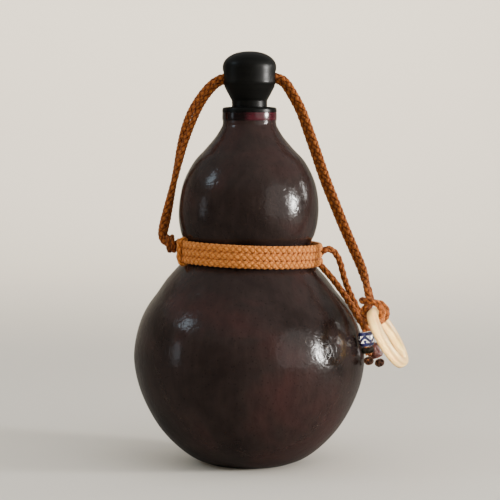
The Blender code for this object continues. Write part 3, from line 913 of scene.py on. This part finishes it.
def turned_wood(name, dark, light, rough_low, rough_high, shaded_side=0.0, **settings):
    """Wood turned on a lathe: colour between two tones, satin to polished."""
    made, tree, shader = new_material(name, **settings)
    uv = add(tree, "ShaderNodeTexCoord").outputs["UV"]
    lines = add(tree, "ShaderNodeGroup", {0: uv}, node_tree=grain)
    tone = math(tree, "MULTIPLY_ADD", lines.outputs[1], 0.6,
                math(tree, "MULTIPLY", lines.outputs[0], 0.4))
    colour = ramp(tree, tone, [(0.35, dark), (0.65, light)])
    # Painted shade: the side towards -X, on the left, is darkened by up to this share, as if the light
    # fell only from the right.
    if shaded_side:
        across = add(tree, "ShaderNodeSeparateXYZ", {0: add(tree, "ShaderNodeTexCoord").outputs["Object"]})
        share = math(tree, "MULTIPLY_ADD", across.outputs[0], 180.0, 0.75)
        side_shade = ramp(tree, share, [(0.2, (1 - shaded_side,) * 3), (0.8, (1.0, 1.0, 1.0))])
        colour = mixed(tree, 1.0, colour, side_shade, "MULTIPLY")
    tree.links.new(colour, shader.inputs["Base Color"])
    gloss = ramp(tree, lines.outputs[1], [
        (0.3, (rough_low,) * 3), (0.7, (rough_high,) * 3)])
    tree.links.new(gloss, shader.inputs["Roughness"])
    place = add(tree, "ShaderNodeTexCoord").outputs["Object"]
    relief = math(tree, "ADD", lines.outputs[0],
                  math(tree, "MULTIPLY", cloud(tree, place, 1300.0, 2.0), 0.35))
    tree.links.new(bump(tree, relief, 0.000012, 0.7), shader.inputs["Normal"])
    return made


black_wood = turned_wood("black_wood", (0.0025, 0.0028, 0.0026), (0.0060, 0.0058, 0.0052),
                         0.28, 0.42, specular_ior_level=0.15)
maroon_wood = turned_wood("maroon_wood", (0.012, 0.003, 0.004), (0.075, 0.010, 0.018),
                          0.14, 0.24, shaded_side=0.9, coat_weight=0.2, coat_roughness=0.08,
                          specular_ior_level=0.3)
dress(mouth_collar, black_wood)
dress(stopper, black_wood)
dress(black_bead, black_wood)
dress(collar_band, maroon_wood)

# %% [markdown]
# ## Cotton cord
#
# Every strand of the braid is itself a bundle of twisted yarn. Slanting lines in the strand's UV give the
# yarn, and the stored attribute that says how high a strand rides makes the crests paler and paints shade
# into the hollows, where a strand dives under the others and between the twists of yarn. Soft sheen stands
# for the fuzz of the cotton.

# %% Cotton cord
def cotton(name, hollow_shade, middle, crest_tone):
    made, tree, shader = new_material(
        name, sheen_weight=0.08, sheen_roughness=0.5, specular_ior_level=0.12)
    place = add(tree, "ShaderNodeTexCoord")
    crest = add(tree, "ShaderNodeAttribute", attribute_name="crest").outputs["Fac"]
    tint = add(tree, "ShaderNodeAttribute", attribute_name="tint").outputs["Fac"]
    uv = add(tree, "ShaderNodeSeparateXYZ", {0: place.outputs["UV"]})
    slant = math(tree, "MULTIPLY_ADD", uv.outputs[0], 1.15,
                 math(tree, "MULTIPLY", uv.outputs[1], 3.0))
    wobble = cloud(tree, place.outputs["Object"], 900.0, 2.0)
    wave = math(tree, "SINE", math(tree, "MULTIPLY", math(
        tree, "ADD", slant, math(tree, "MULTIPLY", wobble, 0.5)), 2 * pi))
    yarn = math(tree, "MULTIPLY_ADD", wave, 0.5, 0.5)
    slow = cloud(tree, place.outputs["Object"], 110.0, 3.0, 0.6)
    fuzz = cloud(tree, place.outputs["Object"], 2600.0, 3.0, 0.6)
    height = math(tree, "MULTIPLY_ADD", crest, 0.70, math(tree, "MULTIPLY", yarn, 0.20))
    height = math(tree, "ADD", height, math(tree, "MULTIPLY", slow, 0.25))
    # Painted shade: the low places of the braid, where strands dive under each other, take the darkest
    # colour.
    tone = ramp(tree, height, [(0.15, hollow_shade), (0.55, middle), (0.95, crest_tone)])
    shade = ramp(tree, tint, [(0.0, (0.90, 0.88, 0.86)), (1.0, (1.08, 1.06, 1.04))])
    colour = mixed(tree, 1.0, tone, shade, "MULTIPLY")
    specks = ramp(tree, fuzz, [(0.35, (0.80, 0.78, 0.75)), (0.7, (1.12, 1.12, 1.12))])
    tree.links.new(mixed(tree, 0.8, colour, specks, "MULTIPLY"), shader.inputs["Base Color"])
    rough = ramp(tree, yarn, [(0.0, (0.92,) * 3), (1.0, (0.74,) * 3)])
    tree.links.new(rough, shader.inputs["Roughness"])
    relief = math(tree, "ADD", yarn, math(tree, "MULTIPLY", fuzz, 0.8))
    tree.links.new(bump(tree, relief, 0.00012, 0.8), shader.inputs["Normal"])
    return made


# One cord in two copies with painted light: the band and tie copy is lighter, as if lit, and the copy for
# the handle, lashing and tails is darker, as painted shade.
shaded_cord_cotton = cotton(
    "shaded_cord_cotton", (0.022, 0.004, 0.001), (0.130, 0.030, 0.005), (0.330, 0.105, 0.022))
lit_band_cotton = cotton(
    "lit_band_cotton", (0.145, 0.035, 0.005), (0.385, 0.116, 0.017), (0.620, 0.235, 0.052))
knot_cotton = cotton(
    "knot_cotton", (0.008, 0.003, 0.002), (0.022, 0.009, 0.005), (0.050, 0.020, 0.010))
for piece in (carrying_cord, inner_tail, outer_tail, left_lashing):
    dress(piece, shaded_cord_cotton)
dress(waist_band, lit_band_cotton)
dress(band_tie, lit_band_cotton)
dress(inner_end_knot, knot_cotton)
dress(outer_end_knot, knot_cotton)

# %% [markdown]
# ## Pale ring and beads
#
# The ring is smooth and cream, with faint lines that run round it and a few darker pores. The
# porcelain bead is white glaze with a painted blue vine: a sine line round its middle, a dot in
# each bend and a line at each end, all from the UV map. The seed is red brown and polished.

# %% Pale ring
pale_ring, tree, shader = new_material(
    "pale_ring", coat_weight=0.25, coat_roughness=0.25, subsurface_weight=0.05, subsurface_scale=0.002)
coordinates = add(tree, "ShaderNodeTexCoord")
lines = add(tree, "ShaderNodeGroup", {0: coordinates.outputs["UV"]}, node_tree=grain)
slow = cloud(tree, coordinates.outputs["Object"], 140.0, 3.0)
tone = math(tree, "MULTIPLY_ADD", lines.outputs[0], 0.5, math(tree, "MULTIPLY", slow, 0.5))
cream = ramp(tree, tone, [
    (0.32, (0.870, 0.480, 0.140)), (0.50, (0.965, 0.620, 0.235)), (0.68, (0.990, 0.735, 0.360))])
pores = add(tree, "ShaderNodeTexVoronoi", {"Vector": coordinates.outputs["Object"], "Scale": 900.0})
pore_mask = ramp(tree, pores.outputs["Distance"], [
    (0.03, (0.55, 0.45, 0.32)), (0.16, (1.0, 1.0, 1.0))])
tree.links.new(mixed(tree, 0.5, cream, pore_mask, "MULTIPLY"), shader.inputs["Base Color"])
gloss = ramp(tree, slow, [(0.3, (0.34,) * 3), (0.7, (0.50,) * 3)])
tree.links.new(gloss, shader.inputs["Roughness"])
tree.links.new(bump(tree, lines.outputs[0], 0.00006, 0.6), shader.inputs["Normal"])
dress(ring, pale_ring)

# %% Porcelain and seed
porcelain, tree, shader = new_material("porcelain", coat_weight=0.6, coat_roughness=0.04)
coordinates = add(tree, "ShaderNodeTexCoord")
uv = add(tree, "ShaderNodeSeparateXYZ", {0: coordinates.outputs["UV"]})
turn = math(tree, "MULTIPLY", uv.outputs[0], 2 * pi * 4)
level = uv.outputs[1]
vine = math(tree, "ABSOLUTE", math(tree, "SUBTRACT", level, math(
    tree, "MULTIPLY", math(tree, "SINE", turn), 1.1)))
dot_side = math(tree, "MULTIPLY", math(tree, "SINE", turn), -1.0)
dot_drop = math(tree, "SUBTRACT", level, math(tree, "MULTIPLY", dot_side, 1.2))
dot = math(tree, "ADD", math(tree, "MULTIPLY", dot_drop, dot_drop), math(
    tree, "MULTIPLY", math(tree, "POWER", math(tree, "COSINE", turn), 2.0), 2.0))
ends = math(tree, "ABSOLUTE", math(tree, "SUBTRACT", math(tree, "ABSOLUTE", level), 2.7))
nearest = math(tree, "MINIMUM", math(tree, "MINIMUM", vine, dot), ends)
wash = math(tree, "MULTIPLY", cloud(tree, coordinates.outputs["Object"], 1500.0, 2.0), 0.7)
paint = ramp(tree, math(tree, "MULTIPLY", math(tree, "ADD", nearest, wash), 0.5), [
    (0.56, (0.0, 0.0, 0.0)), (0.70, (1.0, 1.0, 1.0))])
cobalt = (0.008, 0.011, 0.055, 1.0)
glaze = ramp(tree, cloud(tree, coordinates.outputs["Object"], 600.0), [
    (0.3, (0.70, 0.73, 0.76)), (0.7, (0.82, 0.83, 0.83))])
tree.links.new(mixed(tree, paint, cobalt, glaze), shader.inputs["Base Color"])
gloss = ramp(tree, paint, [(0.0, (0.20,) * 3), (1.0, (0.11,) * 3)])
tree.links.new(gloss, shader.inputs["Roughness"])
ripple = cloud(tree, coordinates.outputs["Object"], 700.0, 2.0)
tree.links.new(bump(tree, ripple, 0.00008, 0.5), shader.inputs["Normal"])
dress(porcelain_bead, porcelain)

seed_brown, tree, shader = new_material("seed_brown", coat_weight=0.3, coat_roughness=0.2)
place = add(tree, "ShaderNodeTexCoord").outputs["Object"]
veins = add(tree, "ShaderNodeTexVoronoi", {"Vector": place, "Scale": 750.0, "Randomness": 0.9},
            feature="DISTANCE_TO_EDGE")
edge = veins.outputs["Distance"]
blotch = cloud(tree, place, 420.0, 3.0)
red = ramp(tree, blotch, [(0.3, (0.050, 0.009, 0.006)), (0.7, (0.180, 0.034, 0.020))])
groove = ramp(tree, edge, [(0.0, (0.35, 0.30, 0.28)), (0.18, (1.0, 1.0, 1.0))])
tree.links.new(mixed(tree, 0.9, red, groove, "MULTIPLY"), shader.inputs["Base Color"])
gloss = ramp(tree, edge, [(0.0, (0.6,) * 3), (0.2, (0.3,) * 3)])
tree.links.new(gloss, shader.inputs["Roughness"])
tree.links.new(bump(tree, edge, 0.0003, 0.7), shader.inputs["Normal"])
dress(seed_bead, seed_brown)

# %% [markdown]
# ## Floor
#
# The floor is a wide shallow bowl: flat where the flask stands and rising smoothly behind it, so
# no horizon line crosses the picture. It is turned by the same function as the round pieces. Its
# mirror image in the dark wax is dimmed, as the dark screens beside a studio set would do.

# %% Floor
floor_profile = [(0.0, 0.0), (300.0, 0.0), (700.0, 0.0), (1200.0, 0.0)]
for index in range(1, 19):
    angle = pi / 2 * index / 18
    floor_profile.append((1200.0 + 1300.0 * sin(angle), 1300.0 * (1 - cos(angle))))
floor = linked("floor", spun(floor_profile, 96))
paper, tree, shader = new_material("pale_paper", roughness=0.9, specular_ior_level=0.2)
place = add(tree, "ShaderNodeTexCoord").outputs["Object"]
tone = ramp(tree, cloud(tree, place, 1.2, 2.0), [(0.3, (0.70, 0.665, 0.60)), (0.7, (0.74, 0.705, 0.64))])
mirrored = add(tree, "ShaderNodeLightPath").outputs["Is Glossy Ray"]
dimmed = mixed(tree, math(tree, "MULTIPLY", mirrored, 0.80), tone, (0.02, 0.02, 0.02, 1.0))
tree.links.new(dimmed, shader.inputs["Base Color"])
dress(floor, paper)

# %% [markdown]
# ## Light
#
# A dark glossy body shows the lights more than its own colour, so each light is placed for the
# reflection it makes. The place follows from the surface: the direction to the light is the view
# direction mirrored in the normal. All of them stand more than a metre away and are soft.

# %% Light
world = bpy.data.worlds.new("pale_room")
bpy.context.scene.world = world
world.use_nodes = True
world.node_tree.nodes["Background"].inputs["Color"].default_value = (1.0, 0.97, 0.92, 1.0)
mirrored = add(world.node_tree, "ShaderNodeLightPath").outputs["Is Glossy Ray"]
strength = math(world.node_tree, "MULTIPLY_ADD", mirrored, -0.50, 0.85)
world.node_tree.links.new(strength, world.node_tree.nodes["Background"].inputs["Strength"])


def soft_light(name, direction, distance, width, height, radiance, colour):
    """An oval light that faces the flask, given by how bright its face looks."""
    data = bpy.data.lights.new(name, "AREA")
    data.shape = "ELLIPSE"
    data.size = width
    data.size_y = height
    data.energy = radiance * pi * width * height * pi / 4
    data.color = colour
    lamp = bpy.data.objects.new(name, data)
    bpy.context.scene.collection.objects.link(lamp)
    centre = Vector((0.0, 0.0, 0.10))
    lamp.location = centre + Vector(direction).normalized() * distance
    lamp.rotation_euler = (centre - lamp.location).to_track_quat("-Z", "Y").to_euler()
    lamp.visible_camera = False
    return lamp


soft_light("key_right", (0.97, -0.22, 0.14), 1.35, 0.24, 0.28, 160.0, (1.0, 0.97, 0.93))
halo = soft_light("halo_right", (0.97, -0.22, 0.14), 1.36, 0.36, 0.42, 26.0, (1.0, 0.97, 0.93))
halo.visible_diffuse = False
soft_light("slit_right", (0.91, 0.33, 0.25), 1.40, 0.10, 0.40, 20.0, (1.0, 0.97, 0.93))
soft_light("broad_front", (0.76, -0.62, 0.18), 1.40, 1.30, 1.20, 1.5, (1.0, 0.97, 0.94))
soft_light("cool_left", (-0.81, -0.18, 0.56), 1.40, 0.36, 0.30, 8.0, (0.66, 0.86, 1.0))
soft_light("edge_left", (-0.97, -0.22, 0.11), 1.40, 0.22, 0.44, 2.2, (0.74, 0.88, 1.0))
wash = soft_light("wall_wash", (0.0, 0.30, 0.95), 1.90, 1.20, 0.50, 23.0, (1.0, 0.895, 0.75))
wash.rotation_euler = (Vector((0.0, 2.4, 0.4)) - wash.location).to_track_quat("-Z", "Y").to_euler()
wash.data.spread = radians(110)
top = soft_light("top_soft", (0.40, -0.52, 0.75), 1.90, 1.80, 1.40, 1.5, (1.0, 0.98, 0.95))
top.visible_glossy = False
ring_fill = soft_light("ring_fill", (0.55, -0.80, 0.25), 1.30, 0.03, 0.03, 9.0, (1.0, 0.86, 0.62))
ring_aim = Vector(RING_CENTRE) * MM
ring_fill.rotation_euler = (ring_aim - ring_fill.location).to_track_quat("-Z", "Y").to_euler()
ring_fill.data.spread = radians(2)
ring_fill.visible_glossy = False
